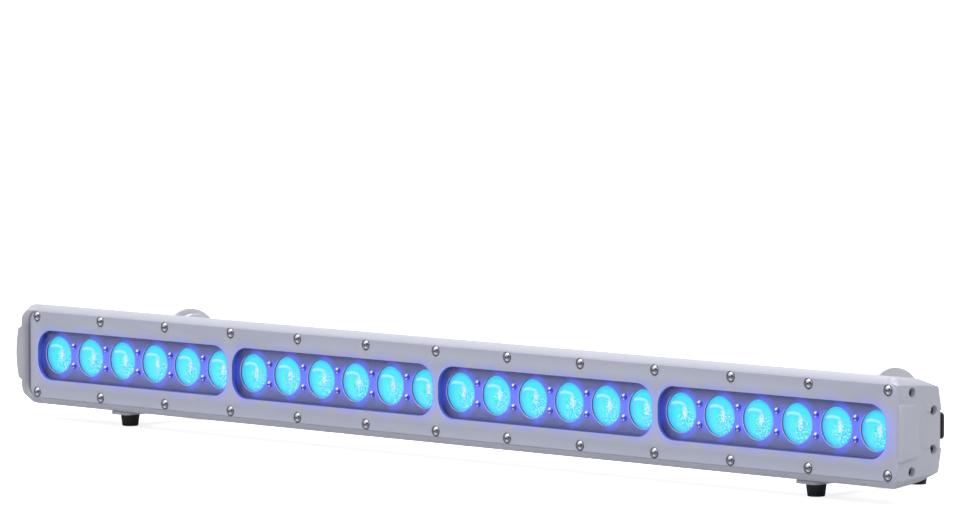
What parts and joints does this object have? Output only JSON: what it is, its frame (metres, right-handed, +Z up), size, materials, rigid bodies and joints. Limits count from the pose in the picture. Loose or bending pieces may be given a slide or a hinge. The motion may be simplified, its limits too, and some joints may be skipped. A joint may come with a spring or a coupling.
{
  "type": "stage light bar",
  "caption": "Slim metal stage light bar with recessed round lenses behind glass windows, end caps, and tilting floor brackets on rubber feet.",
  "frame": {"origin": "on the floor, at the middle of the light's bounding box seen from above", "axes": "+X along the bar, +Y towards the back where the sockets are, +Z up; the light shines along -Y"},
  "size_m": [1.0026, 0.1548, 0.0995],
  "materials": {
    "painted_aluminium": "semi-gloss pale grey powder coat on aluminium",
    "grey_paint": "semi-gloss pale grey powder coat on steel",
    "window_glass": "clear toughened pane",
    "blue_mask": "dark gloss mask that takes the blue of the lamps",
    "clear_lens": "moulded clear lens lit cyan",
    "circuit_board": "white solder mask",
    "bare_aluminium": "plain rolled sheet",
    "steel_screw": "dark zinc",
    "soft_seal": "closed-cell foam",
    "black_rubber": "moulded rubber",
    "black_plastic": "fine moulded texture"
  },
  "bodies": {
    "bar_body": {"control_board": "circuit_board", "control_panel": "black_plastic", "data_in_socket": "black_plastic", "data_out_socket": "black_plastic", "frame_seal": "soft_seal", "front_frame": "painted_aluminium", "glass_pane_1": "window_glass", "glass_pane_2": "window_glass", "glass_pane_3": "window_glass", "glass_pane_4": "window_glass", "heat_spreader": "bare_aluminium", "housing": "painted_aluminium", "led_board_1": "circuit_board", "led_board_2": "circuit_board", "led_board_3": "circuit_board", "led_board_4": "circuit_board", "left_cap_screw_1": "steel_screw", "left_cap_screw_2": "steel_screw", "left_cap_screw_3": "steel_screw", "left_cap_screw_4": "steel_screw", "left_cap_seal": "soft_seal", "left_end_cap": "painted_aluminium", "left_friction_washer": "soft_seal", "left_hinge_arm": "painted_aluminium", "lens_strip_1": "clear_lens", "lens_strip_2": "clear_lens", "lens_strip_3": "clear_lens", "lens_strip_4": "clear_lens", "mask_plate_1": "blue_mask", "mask_plate_2": "blue_mask", "mask_plate_3": "blue_mask", "mask_plate_4": "blue_mask", "power_in_socket": "black_plastic", "power_out_socket": "black_plastic", "power_supply": "bare_aluminium", "right_cap_screw_1": "steel_screw", "right_cap_screw_2": "steel_screw", "right_cap_screw_3": "steel_screw", "right_cap_screw_4": "steel_screw", "right_cap_seal": "soft_seal", "right_end_cap": "painted_aluminium", "right_friction_washer": "soft_seal", "right_hinge_arm": "painted_aluminium"},
    "left_bracket_body": {"left_bracket": "grey_paint", "left_front_foot": "black_rubber", "left_rear_foot": "black_rubber"},
    "left_knob_body": {"left_tilt_knob": "black_plastic"},
    "right_bracket_body": {"right_bracket": "grey_paint", "right_front_foot": "black_rubber", "right_rear_foot": "black_rubber"},
    "right_knob_body": {"right_tilt_knob": "black_plastic"},
    "power_out_cap_body": {"power_out_cap": "black_rubber"},
    "data_out_cap_body": {"data_out_cap": "black_rubber"},
    "data_in_cap_body": {"data_in_cap": "black_rubber"},
    "power_in_cap_body": {"power_in_cap": "black_rubber"},
    "menu_button_body": {"menu_button": "black_rubber"},
    "up_button_body": {"up_button": "black_rubber"},
    "down_button_body": {"down_button": "black_rubber"},
    "enter_button_body": {"enter_button": "black_rubber"}
  },
  "joints": [
    {"name": "left_bracket_tilt", "type": "hinge", "parent": "bar_body", "child": "left_bracket_body", "pos_m": [-0.3899, 0.02515, 0.0578], "axis": [1, 0, 0], "range_deg": [0, 180]},
    {"name": "left_knob_turn", "type": "hinge", "parent": "left_bracket_body", "child": "left_knob_body", "pos_m": [-0.3932, 0.02515, 0.0578], "axis": [-1, 0, 0], "range_deg": [0, 360]},
    {"name": "right_bracket_tilt", "type": "hinge", "parent": "bar_body", "child": "right_bracket_body", "pos_m": [0.4031, 0.02515, 0.0578], "axis": [1, 0, 0], "range_deg": [0, 180]},
    {"name": "right_knob_turn", "type": "hinge", "parent": "right_bracket_body", "child": "right_knob_body", "pos_m": [0.4064, 0.02515, 0.0578], "axis": [1, 0, 0], "range_deg": [0, 360]},
    {"name": "power_out_cap_swing", "type": "hinge", "parent": "bar_body", "child": "power_out_cap_body", "pos_m": [-0.4574, -0.00445, 0.0693], "axis": [1, 0, 0], "range_deg": [0, 150]},
    {"name": "data_out_cap_swing", "type": "hinge", "parent": "bar_body", "child": "data_out_cap_body", "pos_m": [-0.4244, -0.00445, 0.0693], "axis": [1, 0, 0], "range_deg": [0, 150]},
    {"name": "data_in_cap_swing", "type": "hinge", "parent": "bar_body", "child": "data_in_cap_body", "pos_m": [0.4376, -0.00445, 0.0693], "axis": [1, 0, 0], "range_deg": [0, 150]},
    {"name": "power_in_cap_swing", "type": "hinge", "parent": "bar_body", "child": "power_in_cap_body", "pos_m": [0.4706, -0.00445, 0.0693], "axis": [1, 0, 0], "range_deg": [0, 150]},
    {"name": "menu_button_press", "type": "slide", "parent": "bar_body", "child": "menu_button_body", "axis": [0, -1, 0], "range_m": [0, 0.0008], "stiffness_N_per_m": 400},
    {"name": "up_button_press", "type": "slide", "parent": "bar_body", "child": "up_button_body", "axis": [0, -1, 0], "range_m": [0, 0.0008], "stiffness_N_per_m": 400},
    {"name": "down_button_press", "type": "slide", "parent": "bar_body", "child": "down_button_body", "axis": [0, -1, 0], "range_m": [0, 0.0008], "stiffness_N_per_m": 400},
    {"name": "enter_button_press", "type": "slide", "parent": "bar_body", "child": "enter_button_body", "axis": [0, -1, 0], "range_m": [0, 0.0008], "stiffness_N_per_m": 400}
  ]
}
